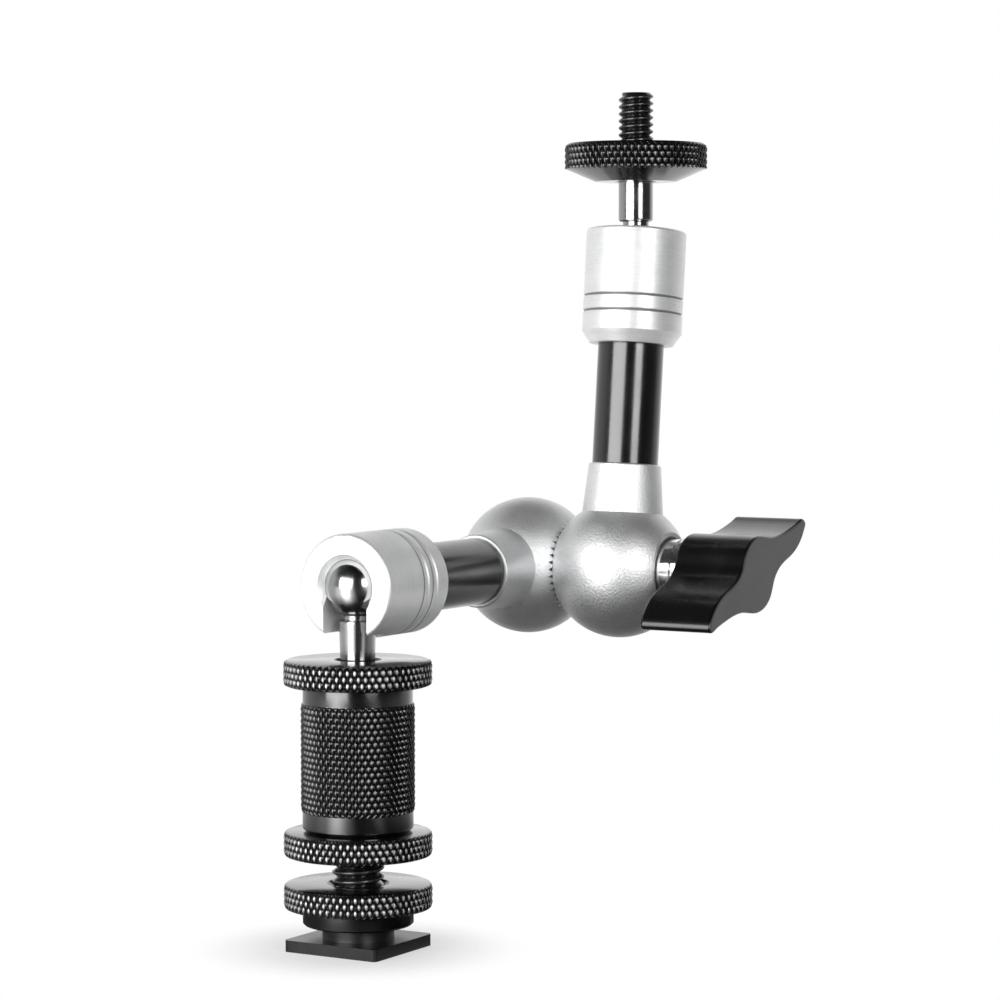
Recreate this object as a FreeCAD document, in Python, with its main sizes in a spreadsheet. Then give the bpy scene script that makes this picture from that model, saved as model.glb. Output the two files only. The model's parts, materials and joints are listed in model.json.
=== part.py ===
import FreeCAD, Part
import math
import os
import re
import Sketcher

# Articulating friction arm: two short arms that meet in a clamped elbow, a ball stud at each end,
# a wing knob that locks everything at once, and a knurled column with a shoe foot below.
# Millimetres, +Z up. The origin is the centre of the shoe foot's underside. +X runs along the
# lower arm towards the elbow, and the wing knob points along -Y.

SIZES = {
    # Clearances
    "running_clearance": 0.05,
    "seat_clearance": 0.02,
    # Shoe foot
    "shoe_width": 18.5,
    "shoe_length": 18.0,
    "shoe_thickness": 2.0,
    "shoe_corner": 0.8,
    "shoe_boss_radius": 6.15,
    "shoe_boss_top": 4.2,
    "shoe_nut_gap": 0.1,
    # Threaded stud of the shoe
    "shoe_stud_radius": 4.45,
    "shoe_stud_recess": 0.4,
    "shoe_stud_grip": 8.0,
    "screw_slot_width": 1.2,
    "screw_slot_depth": 1.0,
    "thread_chamfer": 0.9,
    "tip_chamfer": 0.6,
    # Knurled discs
    "disc_radius": 12.7,
    "disc_thickness": 4.2,
    "disc_round": 0.8,
    "neck_radius": 9.45,
    "clamp_hub_length": 2.8,
    "hub_chamfer": 0.3,
    "nut_distance": 4.8,
    "stud_disc_thickness": 4.4,
    # Barrel
    "barrel_neck_length": 3.4,
    "barrel_chamfer": 0.6,
    "barrel_knurl_length": 18.5,
    "barrel_knurl_radius": 9.75,
    "barrel_round": 1.1,
    "barrel_top_neck_length": 2.9,
    "barrel_top_neck_radius": 9.4,
    "barrel_web": 3.6,
    # Ball studs
    "stud_radius": 3.175,
    "ball_radius": 5.5,
    "ball_neck_radius": 2.4,
    "shoulder_distance": 5.6,
    "shoulder_chamfer": 0.35,
    "ball_above_disc": 12.5,
    "lower_stud_grip": 9.5,
    # Top disc and camera screw
    "top_disc_radius": 13.0,
    "top_disc_foot_radius": 7.4,
    "top_disc_gap": 12.9,
    "top_disc_cone": 2.4,
    "top_disc_rim": 4.5,
    "top_disc_chamfer": 0.6,
    "camera_screw_length": 9.2,
    "screw_relief_radius": 2.7,
    "screw_relief_width": 0.8,
    "screw_relief_rise": 0.1,
    # Ball sockets
    "socket_wall": 3.55,
    "socket_face": 4.0,
    "socket_lip": 2.9,
    "socket_mouth_radius": 5.65,
    "socket_round": 0.6,
    "socket_front_length": 12.3,
    "socket_base_length": 8.5,
    "socket_thread_wall": 1.65,
    "socket_thread_length": 3.0,
    "slot_half_width": 4.4,
    "seam_groove": 0.3,
    "base_ring_length": 2.8,
    "base_taper_length": 2.2,
    "base_taper_drop": 1.5,
    # Ball cup and push rod
    "cup_front": 3.4,
    "cup_back": 7.2,
    "cup_clearance": 0.08,
    "cup_chamfer": 0.4,
    "rod_radius": 2.0,
    # Arm tube
    "arm_length": 57.7,
    "tube_radius": 6.0,
    "tube_wall": 1.5,
    "tube_seat_depth": 5.0,
    # Elbow halves
    "sphere_radius": 12.5,
    "elbow_neck_length": 19.0,
    "elbow_neck_radius": 6.6,
    "elbow_neck_root_radius": 7.35,
    "elbow_neck_round": 0.35,
    "contact_offset": 9.6,
    "chamber_radius": 6.2,
    "outer_face_offset": 10.4,
    "elbow_web_inside": 5.0,
    "elbow_web_bore": 4.4,
    "pilot_height": 1.4,
    "notch_count": 40,
    "notch_depth": 0.55,
    "notch_half_width": 0.38,
    "upper_arm_lean": 5.8,
    # Clamp bolt, cones and spring
    "bolt_radius": 3.0,
    "bolt_head_flats": 10.0,
    "bolt_head_thickness": 3.2,
    "clamp_play": 0.8,
    "cone_half_length": 2.15,
    "cone_large_radius": 5.95,
    "cone_small_radius": 3.85,
    "spring_wire_radius": 0.35,
    "spring_radius": 3.62,
    "spring_turns": 7,
    "spring_play": 0.1,
    # Thrust collar, knob and its insert
    "collar_radius": 5.75,
    "collar_guide_recess": 1.4,
    "collar_groove_radius": 5.1,
    "collar_groove_offset": 12.75,
    "collar_groove_width": 0.5,
    "knob_base": 14.4,
    "knob_length": 13.8,
    "knob_reach": 20.9,
    "knob_hub_radius": 6.7,
    "knob_angle": 24.6,
    "knob_round": 0.5,
    "insert_radius": 4.6,
    "insert_length": 9.5,
    "bolt_end_room": 2.0,
}

# The wing knob's edge from one tip to the other, in shares of its reach along the bar and of its
# hub's radius across it. The other edge is the same one after half a turn.
KNOB_EDGE = (
    (1.0, -0.05), (0.965, 0.10), (0.90, 0.13), (0.80, 0.165), (0.541, 0.328), (0.335, 0.582),
    (0.163, 0.895), (0.0, 1.0), (-0.139, 0.88), (-0.254, 0.60), (-0.440, 0.45), (-0.632, 0.493),
    (-0.799, 0.448), (-0.90, 0.33), (-0.968, 0.20),
)

# A cut that has to leave a face reaches this far past it
PAST = "1"

# Heights along the column, from the foot's underside
CLAMP_NUT_BASE = "(shoe_boss_top + shoe_nut_gap)"
LOCK_NUT_BASE = "(%s + clamp_hub_length + disc_thickness + nut_distance)" % CLAMP_NUT_BASE
BARREL_BASE = "(%s + disc_thickness)" % LOCK_NUT_BASE
BARREL_LENGTH = "(barrel_neck_length + barrel_knurl_length + barrel_top_neck_length)"
BARREL_TOP = "(%s + %s)" % (BARREL_BASE, BARREL_LENGTH)
BALL_HEIGHT = "(%s + stud_disc_thickness + ball_above_disc)" % BARREL_TOP

# Bores
COLUMN_BORE = "(shoe_stud_radius + running_clearance)"
STUD_BORE = "(stud_radius + running_clearance)"
BOLT_BORE = "(bolt_radius + running_clearance)"
SEAT_RADIUS = "(ball_radius + running_clearance)"

# The sockets' outside and their thread, round the ball's seat
SOCKET_RADIUS = "(%s + socket_wall)" % SEAT_RADIUS
SOCKET_THREAD = "(%s + socket_thread_wall)" % SEAT_RADIUS

# Places along an arm, from its ball's centre towards the elbow
BASE_FRONT = "(socket_front_length - socket_face)"
BASE_BACK = "(%s + socket_base_length)" % BASE_FRONT
CONE_MIDDLE = "((cone_large_radius + cone_small_radius) / 2)"
CONE_SLOPE = "((cone_large_radius - cone_small_radius) / (2 * cone_half_length))"
ROD_TIP_CENTRE = "(arm_length - %s - (rod_radius + running_clearance) * sqrt(1 + %s ^ 2))" % (
    CONE_MIDDLE, CONE_SLOPE)

# The upper arm stands on the elbow, beside the lower one, and leans away from the column
UPPER_BALL = "vector(arm_length + arm_length * sin(upper_arm_lean); -2 * contact_offset; %s)" % (
    "%s + arm_length * cos(upper_arm_lean)" % BALL_HEIGHT)

# Frames: along the column, and in each arm with its ball's centre at the origin and +Z towards
# the elbow, and along the clamp bolt with the upper sphere's centre at the origin and +Z
# towards the knob
UPRIGHT = "rotation(vector(0; 0; 1); 0)"
ARM_FRAME = {
    "lower": "placement(vector(0; 0; %s); rotation(vector(0; 1; 0); 90))" % BALL_HEIGHT,
    "upper": "placement(%s; %s)" % (
        UPPER_BALL, "rotation(vector(0; 1; 0); 180 + upper_arm_lean) * rotation(vector(0; 0; 1); 180)"),
}
CLAMP_FRAME = "placement(vector(arm_length; -2 * contact_offset; %s); rotation(vector(1; 0; 0); 90))" % BALL_HEIGHT

doc = FreeCAD.newDocument("FrictionArm")
sheet = doc.addObject("Spreadsheet::Sheet", "Sizes")
for row, (size_name, value) in enumerate(SIZES.items(), start=1):
    sheet.set("A%d" % row, size_name)
    sheet.set("B%d" % row, str(value))
    sheet.setAlias("B%d" % row, size_name)
doc.recompute()

sub_parts = []


def bound(formula):
    """Put the sheet's name in front of every size that a formula names."""
    return re.sub(r"[a-z]\w*", lambda word: "Sizes." + word[0] if word[0] in SIZES else word[0], formula)


def number(formula):
    """The present value of a formula."""
    return float(sheet.evalExpression(bound(formula)))


def shifted(frame, distance):
    """A frame moved along its own Z axis."""
    return "%s * placement(vector(0; 0; %s); %s)" % (frame, distance, UPRIGHT)


def new_body(label, frame):
    """A body with its own label, placed in the assembly by a formula."""
    body = doc.addObject("PartDesign::Body", label)
    body.Label = label
    body.setExpression("Placement", bound(frame))
    sub_parts.append(body)
    return body


def standing_body(label, height="0"):
    """A body that stands on the column's axis at a height."""
    return new_body(label, "placement(vector(0; 0; %s); %s)" % (height, UPRIGHT))


def new_sketch(body, plane="XZ_Plane", offset=None):
    """A sketch on one of the body's origin planes, moved along the plane's normal by a formula."""
    sketch = body.newObject("Sketcher::SketchObject", body.Name + "_sketch")
    support = [feature for feature in body.Origin.OriginFeatures if feature.Role == plane][0]
    sketch.AttachmentSupport = [(support, "")]
    sketch.MapMode = "FlatFace"
    if offset is not None:
        sketch.setExpression("AttachmentOffset.Base.z", bound(offset))
    return sketch


def bind_constraint(sketch, constraint, formula):
    """Add a constraint to a sketch and bind its value to a formula."""
    index = sketch.addConstraint(constraint)
    sketch.setExpression("Constraints[%d]" % index, bound(formula))


def nearest_end(curve, place):
    """The number of a curve's end that lies at a place: 1 for its start, 2 for its end."""
    return 1 if (curve.StartPoint - place).Length < (curve.EndPoint - place).Length else 2


def arc_between(start, end, radius, side):
    """The short arc of a radius between two points, with its centre to the left (1) or right (-1)."""
    chord = end - start
    left = FreeCAD.Vector(-chord.y, chord.x, 0).normalize()
    height = math.sqrt(max(radius ** 2 - chord.Length ** 2 / 4, 0))
    crown = (start + end) * 0.5 + left * (side * (height - radius))
    return Part.Arc(start, crown, end)


def closed_outline(sketch, corners):
    """Join corners, given as pairs of formulas, into a closed outline of lines and arcs.

    A corner with a radius after its pair is reached by an arc of that radius, whose centre lies to
    the left of the way there, or to the right where -1 follows."""
    places = [FreeCAD.Vector(number(corner[0]), number(corner[1]), 0) for corner in corners]
    curves = []
    for index, start in enumerate(places):
        following = (index + 1) % len(corners)
        corner, end = corners[following], places[following]
        if len(corner) == 2:
            curves.append(Part.LineSegment(start, end))
        else:
            curves.append(arc_between(start, end, number(corner[2]), corner[3] if len(corner) > 3 else 1))
    for curve in curves:
        sketch.addGeometry(curve, False)
    for index in range(len(corners)):
        following = (index + 1) % len(corners)
        corner, place = corners[following], places[following]
        end = nearest_end(sketch.Geometry[index], place)
        next_start = nearest_end(sketch.Geometry[following], place)
        sketch.addConstraint(Sketcher.Constraint("Coincident", index, end, following, next_start))
        bind_constraint(sketch, Sketcher.Constraint("DistanceX", -1, 1, index, end, place.x), corner[0])
        bind_constraint(sketch, Sketcher.Constraint("DistanceY", -1, 1, index, end, place.y), corner[1])
        if len(corner) > 2:
            radius = number(corner[2])
            bind_constraint(sketch, Sketcher.Constraint("Radius", index, radius), corner[2])


def rectangle(half_across, half_up):
    """Corners of a rectangle round the origin."""
    return [("-(%s)" % half_across, "-(%s)" % half_up), (half_across, "-(%s)" % half_up),
            (half_across, half_up), ("-(%s)" % half_across, half_up)]


def turn(body, corners, plane="XZ_Plane", axis="V_Axis", feature="PartDesign::Revolution"):
    """Turn an outline about a sketch axis and add it to the body."""
    sketch = new_sketch(body, plane)
    closed_outline(sketch, corners)
    turned = body.newObject(feature, body.Name + "_turned")
    turned.Profile = sketch
    turned.ReferenceAxis = (sketch, [axis])
    turned.Angle = 360
    doc.recompute()
    return turned


def groove(body, corners, plane="XZ_Plane", axis="V_Axis"):
    """Turn an outline about a sketch axis and cut it away, and make sure that it did cut."""
    before = body.Shape.Volume
    cut = turn(body, corners, plane, axis, "PartDesign::Groove")
    if not body.Shape.Volume < before:
        raise ValueError(body.Label + ": the groove cuts nothing")
    return cut


def bore(body, radius, bottom, top):
    """Cut a round hole along the body's own Z axis between two heights."""
    return groove(body, [("0", bottom), (radius, bottom), (radius, top), ("0", top)])


def pocket(body, sketch, length, reverse=False):
    """Cut a sketch's outline into a body by a length, and make sure that it did cut."""
    doc.recompute()
    before = body.Shape.Volume
    cut = body.newObject("PartDesign::Pocket", body.Name + "_pocket")
    cut.Profile = sketch
    cut.setExpression("Length", bound(length))
    cut.Reversed = reverse
    doc.recompute()
    if not body.Shape.Volume < before:
        raise ValueError(body.Label + ": the pocket cuts nothing")
    return cut


def round_edges(body, chosen, radius):
    """Round the edges of a body that a test picks out."""
    names = ["Edge%d" % place for place, edge in enumerate(body.Shape.Edges, start=1) if chosen(edge)]
    base = body.Tip
    rounded = body.newObject("PartDesign::Fillet", body.Name + "_round")
    rounded.Base = (base, names)
    rounded.setExpression("Radius", bound(radius))
    doc.recompute()
    return rounded


# The column


def shoe_plate():
    """The flat foot that slides into an accessory shoe, with the round boss between its rails."""
    body = standing_body("shoe_plate")
    sketch = new_sketch(body, "XY_Plane")
    closed_outline(sketch, rectangle("shoe_length / 2", "shoe_width / 2"))
    plate = body.newObject("PartDesign::Pad", "shoe_plate_pad")
    plate.Profile = sketch
    plate.setExpression("Length", bound("shoe_thickness"))
    doc.recompute()
    round_edges(body, lambda edge: abs(edge.tangentAt(edge.FirstParameter).z) > 0.99, "shoe_corner")
    middle = "shoe_thickness / 2"
    turn(body, [("0", middle), ("shoe_boss_radius", middle),
                ("shoe_boss_radius", "shoe_boss_top"), ("0", "shoe_boss_top")])
    bore(body, "shoe_stud_radius + seat_clearance", "-" + PAST, "shoe_boss_top + " + PAST)


def shoe_stud():
    """The threaded stud that stands in the foot, with a screwdriver slot in its lower end."""
    body = standing_body("shoe_stud", "shoe_stud_recess")
    top = BARREL_BASE + " + shoe_stud_grip - shoe_stud_recess"
    turn(body, [("0", "0"), ("shoe_stud_radius", "0"), ("shoe_stud_radius", top + " - tip_chamfer"),
                ("shoe_stud_radius - tip_chamfer", top), ("0", top)])
    sketch = new_sketch(body, "XY_Plane")
    closed_outline(sketch, rectangle("shoe_stud_radius + " + PAST, "screw_slot_width / 2"))
    pocket(body, sketch, "screw_slot_depth", reverse=True)


def round_nut(label, base, hub_length, bore_radius, thickness):
    """A round nut: a disc for the fingers, on an optional hub, with a chamfered thread bore."""
    body = standing_body(label, base)
    top = "%s + %s" % (hub_length, thickness)
    mouth = bore_radius + " + thread_chamfer"
    corners = [(bore_radius, "thread_chamfer"), (mouth, "0")]
    if hub_length != "0":
        corners += [("neck_radius - hub_chamfer", "0"), ("neck_radius", "hub_chamfer"), ("neck_radius", hub_length)]
    corners += [
        ("disc_radius - disc_round", hub_length),
        ("disc_radius", hub_length + " + disc_round", "disc_round"),
        ("disc_radius", top + " - disc_round"),
        ("disc_radius - disc_round", top, "disc_round"),
        (mouth, top),
        (bore_radius, top + " - thread_chamfer"),
    ]
    turn(body, corners)


def adapter_barrel():
    """The knurled barrel that joins the shoe's stud to the ball stud, with a web between them."""
    body = standing_body("adapter_barrel", BARREL_BASE)
    knurl_base = "barrel_neck_length"
    knurl_top = "(barrel_neck_length + barrel_knurl_length)"
    web_base = "(shoe_stud_grip + thread_chamfer)"
    web_top = "(%s + barrel_web)" % web_base
    # The knurled stretch is hardly thicker than its necks, so its ends are rounded only down to them
    lower_step = "(barrel_knurl_radius - neck_radius)"
    upper_step = "(barrel_knurl_radius - barrel_top_neck_radius)"
    lower_rise = "sqrt(barrel_round ^ 2 - (barrel_round - %s) ^ 2)" % lower_step
    upper_rise = "sqrt(barrel_round ^ 2 - (barrel_round - %s) ^ 2)" % upper_step
    turn(body, [
        (COLUMN_BORE + " + thread_chamfer", "0"),
        ("neck_radius - barrel_chamfer", "0"),
        ("neck_radius", "barrel_chamfer"),
        ("neck_radius", knurl_base),
        ("barrel_knurl_radius", "%s + %s" % (knurl_base, lower_rise), "barrel_round"),
        ("barrel_knurl_radius", "%s - %s" % (knurl_top, upper_rise)),
        ("barrel_top_neck_radius", knurl_top, "barrel_round"),
        ("barrel_top_neck_radius", BARREL_LENGTH),
        (STUD_BORE + " + thread_chamfer", BARREL_LENGTH),
        (STUD_BORE, BARREL_LENGTH + " - thread_chamfer"),
        (STUD_BORE, web_top),
        ("0", web_top),
        ("0", web_base),
        (COLUMN_BORE, web_base),
        (COLUMN_BORE, "thread_chamfer"),
    ])


# The ball studs


def ball_stud(label, frame, length):
    """A ball on a short neck, and the threaded stem that carries it. The ball is at the origin."""
    body = new_body(label, frame)
    turn(body, [
        ("0", "-ball_radius"),
        ("ball_neck_radius", "sqrt(ball_radius ^ 2 - ball_neck_radius ^ 2)", "ball_radius"),
        ("ball_neck_radius", "shoulder_distance"),
        ("stud_radius - shoulder_chamfer", "shoulder_distance"),
        ("stud_radius", "shoulder_distance + shoulder_chamfer"),
        ("stud_radius", length + " - tip_chamfer"),
        ("stud_radius - tip_chamfer", length),
        ("0", length),
    ])
    return body


def camera_ball_stud():
    """The ball stud that ends in the camera's screw, with a relief that parts it from the disc's thread."""
    disc_top = "(top_disc_gap + top_disc_cone + top_disc_rim)"
    body = ball_stud("upper_ball_stud", "placement(%s; %s)" % (UPPER_BALL, UPRIGHT), disc_top + " + camera_screw_length")
    end = disc_top + " + screw_relief_rise"
    start = end + " - screw_relief_width"
    past_thread = "stud_radius + " + PAST
    groove(body, [("screw_relief_radius", start), (past_thread, start), (past_thread, end), ("screw_relief_radius", end)])


def top_lock_disc():
    """The disc with a coned underside that jams against whatever the camera screw holds."""
    body = new_body("top_lock_disc", "placement(%s + vector(0; 0; top_disc_gap); %s)" % (UPPER_BALL, UPRIGHT))
    top = "(top_disc_cone + top_disc_rim)"
    mouth = STUD_BORE + " + tip_chamfer"
    turn(body, [
        (STUD_BORE, "tip_chamfer"),
        (mouth, "0"),
        ("top_disc_foot_radius", "0"),
        ("top_disc_radius", "top_disc_cone"),
        ("top_disc_radius", top + " - top_disc_chamfer"),
        ("top_disc_radius - top_disc_chamfer", top),
        (mouth, top),
        (STUD_BORE, top + " - tip_chamfer"),
    ])


# The arms


def socket(arm):
    """The slotted housing round the ball: a lip and a round seat in front, a thread behind."""
    body = new_body(arm + "_socket", ARM_FRAME[arm])
    thread_end = BASE_FRONT + " - socket_thread_length"
    lip_radius = "sqrt(%s ^ 2 - socket_lip ^ 2)" % SEAT_RADIUS
    turn(body, [
        ("socket_mouth_radius", "-socket_face"),
        (SOCKET_RADIUS + " - socket_round", "-socket_face"),
        (SOCKET_RADIUS, "-socket_face + socket_round", "socket_round"),
        (SOCKET_RADIUS, BASE_FRONT + " - seam_groove"),
        (SOCKET_RADIUS + " - seam_groove", BASE_FRONT),
        (SOCKET_THREAD, BASE_FRONT),
        (SOCKET_THREAD, thread_end),
        (SEAT_RADIUS, thread_end),
        (SEAT_RADIUS, "0"),
        (lip_radius, "0"),
        (lip_radius, "-socket_lip"),
    ])
    groove(body, [("0", "-" + SEAT_RADIUS), (SEAT_RADIUS, "0", SEAT_RADIUS), ("0", "0")])
    sketch = new_sketch(body, "YZ_Plane")
    mouth = "-socket_face - " + PAST
    closed_outline(sketch, [
        ("-slot_half_width", mouth), ("slot_half_width", mouth), ("slot_half_width", "0"),
        ("0", "slot_half_width", "slot_half_width"), ("-slot_half_width", "0", "slot_half_width"),
    ])
    pocket(body, sketch, SOCKET_RADIUS + " + " + PAST, reverse=True)


def socket_base(arm):
    """The ring that screws into the back of the socket, guides the push rod and holds the tube."""
    body = new_body(arm + "_socket_base", ARM_FRAME[arm])
    thread_radius = SOCKET_THREAD + " - seat_clearance"
    thread_end = BASE_FRONT + " - socket_thread_length + running_clearance"
    ring_end = BASE_FRONT + " + base_ring_length"
    taper_start = BASE_BACK + " - base_taper_length"
    tube_seat = "(%s - tube_seat_depth)" % BASE_BACK
    turn(body, [
        (SEAT_RADIUS, thread_end),
        (thread_radius, thread_end),
        (thread_radius, BASE_FRONT),
        (SOCKET_RADIUS + " - seam_groove", BASE_FRONT),
        (SOCKET_RADIUS, BASE_FRONT + " + seam_groove"),
        (SOCKET_RADIUS, ring_end + " - seam_groove"),
        (SOCKET_RADIUS + " - seam_groove", ring_end),
        (SOCKET_RADIUS, ring_end + " + seam_groove"),
        (SOCKET_RADIUS, taper_start),
        (SOCKET_RADIUS + " - base_taper_drop", BASE_BACK),
        ("tube_radius + seat_clearance", BASE_BACK),
        ("tube_radius + seat_clearance", tube_seat),
        ("rod_radius + running_clearance", tube_seat),
        ("rod_radius + running_clearance", BASE_FRONT),
        (SEAT_RADIUS, BASE_FRONT),
    ])


def ball_cup(arm):
    """The sliding cup that presses the ball into its seat."""
    body = new_body(arm + "_ball_cup", ARM_FRAME[arm])
    radius = "(%s - cup_clearance)" % SEAT_RADIUS
    turn(body, [
        ("0", "cup_front"),
        (radius, "cup_front"),
        (radius, "cup_back - cup_chamfer"),
        (radius + " - cup_chamfer", "cup_back"),
        ("0", "cup_back"),
    ])
    groove(body, [("0", "0"), (SEAT_RADIUS, "0"), ("0", SEAT_RADIUS, SEAT_RADIUS)])


def push_rod(arm):
    """The rod that carries the thrust of the elbow's cone to the ball cup, with a round nose."""
    body = new_body(arm + "_push_rod", ARM_FRAME[arm])
    turn(body, [
        ("0", "cup_back"),
        ("rod_radius", "cup_back"),
        ("rod_radius", ROD_TIP_CENTRE),
        ("0", ROD_TIP_CENTRE + " + rod_radius", "rod_radius"),
    ])


def arm_tube(arm):
    """The plain tube between the socket's base and the elbow's neck."""
    body = new_body(arm + "_tube", ARM_FRAME[arm])
    start = "%s - tube_seat_depth" % BASE_BACK
    end = "arm_length - elbow_neck_length + tube_seat_depth"
    bore_radius = "tube_radius - tube_wall"
    turn(body, [(bore_radius, start), ("tube_radius", start), ("tube_radius", end), (bore_radius, end)])


def elbow_blank(arm):
    """A sphere with the neck that holds the tube, its centre at the origin and the neck along -Z."""
    body = new_body(arm + "_elbow_half", shifted(ARM_FRAME[arm], "arm_length"))
    rim = "-elbow_neck_length"
    root = "-sqrt(sphere_radius ^ 2 - elbow_neck_root_radius ^ 2)"
    turn(body, [
        ("0", rim),
        ("elbow_neck_radius - elbow_neck_round", rim),
        ("elbow_neck_radius", rim + " + elbow_neck_round", "elbow_neck_round"),
        ("elbow_neck_root_radius", root),
        ("sphere_radius", "0", "sphere_radius"),
        ("0", "sphere_radius", "sphere_radius"),
    ])
    bore(body, "tube_radius + seat_clearance", rim + " - " + PAST, rim + " + tube_seat_depth")
    bore(body, "rod_radius + running_clearance", rim, "-chamber_radius / 2")
    return body


def lower_elbow_half():
    """The half with the serrated face. Its chamber holds a cone, and a hexagonal seat the bolt's head."""
    body = elbow_blank("lower")
    past_sphere = "(sphere_radius + %s)" % PAST
    floor = "(cone_half_length + clamp_play)"
    groove(body, [
        ("-" + past_sphere, "0"), ("-" + past_sphere, past_sphere), ("-contact_offset", past_sphere),
        ("-contact_offset", "chamber_radius"), (floor, "chamber_radius"), (floor, "0"),
    ], "YZ_Plane", "H_Axis")
    seat = new_sketch(body, "XZ_Plane", "-" + floor)
    hexagon(seat, "bolt_head_flats / 2 + running_clearance", "Y")
    pocket(body, seat, "bolt_head_thickness")
    notch = new_sketch(body, "YZ_Plane")
    closed_outline(notch, [
        ("-contact_offset - notch_depth", "-2 * notch_half_width"), ("-contact_offset + notch_depth", "0"),
        ("-contact_offset - notch_depth", "2 * notch_half_width"),
    ])
    first = pocket(body, notch, "sphere_radius", reverse=True)
    ring = body.newObject("PartDesign::PolarPattern", "serration")
    ring.Originals = [first]
    ring.Axis = (notch, ["H_Axis"])
    ring.Angle = 360
    ring.setExpression("Occurrences", bound("notch_count"))
    body.Tip = ring
    doc.recompute()


def upper_elbow_half():
    """The half on the knob's side: open towards the knob, with a pilot ring that centres the elbow."""
    body = elbow_blank("upper")
    past_sphere = "(sphere_radius + %s)" % PAST
    web = "-elbow_web_inside"
    groove(body, [
        ("-" + past_sphere, "0"), ("-" + past_sphere, past_sphere), ("-contact_offset", past_sphere),
        ("-contact_offset", "elbow_web_bore"), (web, "elbow_web_bore"), (web, "chamber_radius"),
        ("outer_face_offset", "chamber_radius"), ("outer_face_offset", past_sphere),
        (past_sphere, past_sphere), (past_sphere, "0"),
    ], "YZ_Plane", "H_Axis")
    pilot_radius = "chamber_radius - running_clearance"
    pilot_root = "-contact_offset + pilot_height"
    pilot_end = "-contact_offset - pilot_height"
    turn(body, [
        (pilot_end, "elbow_web_bore"), (pilot_root, "elbow_web_bore"),
        (pilot_root, pilot_radius), (pilot_end, pilot_radius),
    ], "YZ_Plane", "H_Axis")


def hexagon(sketch, half_flats, flats_across="X"):
    """A hexagon round the origin, with two flats across the sketch's X or Y axis."""
    reach, half_side = "(%s)" % half_flats, "((%s) / sqrt(3))" % half_flats
    corners = [
        ("-" + reach, "-" + half_side), ("0", "-2 * " + half_side), (reach, "-" + half_side),
        (reach, half_side), ("0", "2 * " + half_side), ("-" + reach, half_side),
    ]
    if flats_across == "Y":
        corners = [(up, across) for across, up in corners]
    closed_outline(sketch, corners)


# The clamp: places along the bolt are counted from the upper sphere's centre towards the knob

LOWER_SPHERE = "(-2 * contact_offset)"


def clamp_bolt():
    """The bolt that the knob pulls, its hexagonal head held in the lower half."""
    head_top = "(%s - cone_half_length)" % LOWER_SPHERE
    body = new_body("clamp_bolt", shifted(CLAMP_FRAME, head_top))
    end = "(knob_base + insert_length - %s)" % head_top
    sketch = new_sketch(body, "XY_Plane")
    hexagon(sketch, "bolt_head_flats / 2")
    head = body.newObject("PartDesign::Pad", "bolt_head")
    head.Profile = sketch
    head.setExpression("Length", bound("bolt_head_thickness"))
    head.Reversed = True
    doc.recompute()
    turn(body, [("0", "-bolt_head_thickness / 2"), ("bolt_radius", "-bolt_head_thickness / 2"),
                ("bolt_radius", end + " - tip_chamfer"), ("bolt_radius - tip_chamfer", end), ("0", end)])


def cone(label, centre, large_end):
    """A cone on the bolt that spreads a push rod outwards. large_end is 1 towards the knob, or -1."""
    body = new_body(label, shifted(CLAMP_FRAME, centre))
    low, high = ("small", "large") if large_end > 0 else ("large", "small")
    turn(body, [
        (BOLT_BORE, "-cone_half_length"),
        ("cone_%s_radius" % low, "-cone_half_length"),
        ("cone_%s_radius" % high, "cone_half_length"),
        (BOLT_BORE, "cone_half_length"),
    ])


def elbow_spring():
    """The coil spring that parts the two cones when the knob is loosened."""
    start = "(%s + cone_half_length + spring_play + spring_wire_radius)" % LOWER_SPHERE
    end = "(-cone_half_length - spring_play - spring_wire_radius)"
    body = new_body("elbow_spring", shifted(CLAMP_FRAME, start))
    sketch = new_sketch(body, "XZ_Plane")
    centre = FreeCAD.Vector(number("spring_radius"), 0, 0)
    sketch.addGeometry(Part.Circle(centre, FreeCAD.Vector(0, 0, 1), number("spring_wire_radius")), False)
    sketch.addConstraint(Sketcher.Constraint("PointOnObject", 0, 3, -1))
    bind_constraint(sketch, Sketcher.Constraint("DistanceX", -1, 1, 0, 3, centre.x), "spring_radius")
    bind_constraint(sketch, Sketcher.Constraint("Radius", 0, number("spring_wire_radius")), "spring_wire_radius")
    coil = body.newObject("PartDesign::AdditiveHelix", "coil")
    coil.Profile = sketch
    coil.ReferenceAxis = (sketch, ["V_Axis"])
    coil.Mode = "height-turns-angle"
    coil.setExpression("Height", bound("%s - %s" % (end, start)))
    coil.setExpression("Turns", bound("spring_turns"))
    doc.recompute()


def thrust_collar():
    """The bright collar between the knob and the upper cone: it slides in the elbow's chamber."""
    body = new_body("thrust_collar", CLAMP_FRAME)
    guide_end = "(outer_face_offset - collar_guide_recess)"
    groove_end = "collar_groove_offset + collar_groove_width"
    end = "(knob_base - running_clearance)"
    turn(body, [
        (BOLT_BORE, "cone_half_length"),
        ("chamber_radius - running_clearance", "cone_half_length"),
        ("chamber_radius - running_clearance", guide_end),
        ("collar_radius", guide_end),
        ("collar_radius", "collar_groove_offset"),
        ("collar_groove_radius", "collar_groove_offset"),
        ("collar_groove_radius", groove_end),
        ("collar_radius", groove_end),
        ("collar_radius", end),
        (BOLT_BORE, end),
    ])


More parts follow.
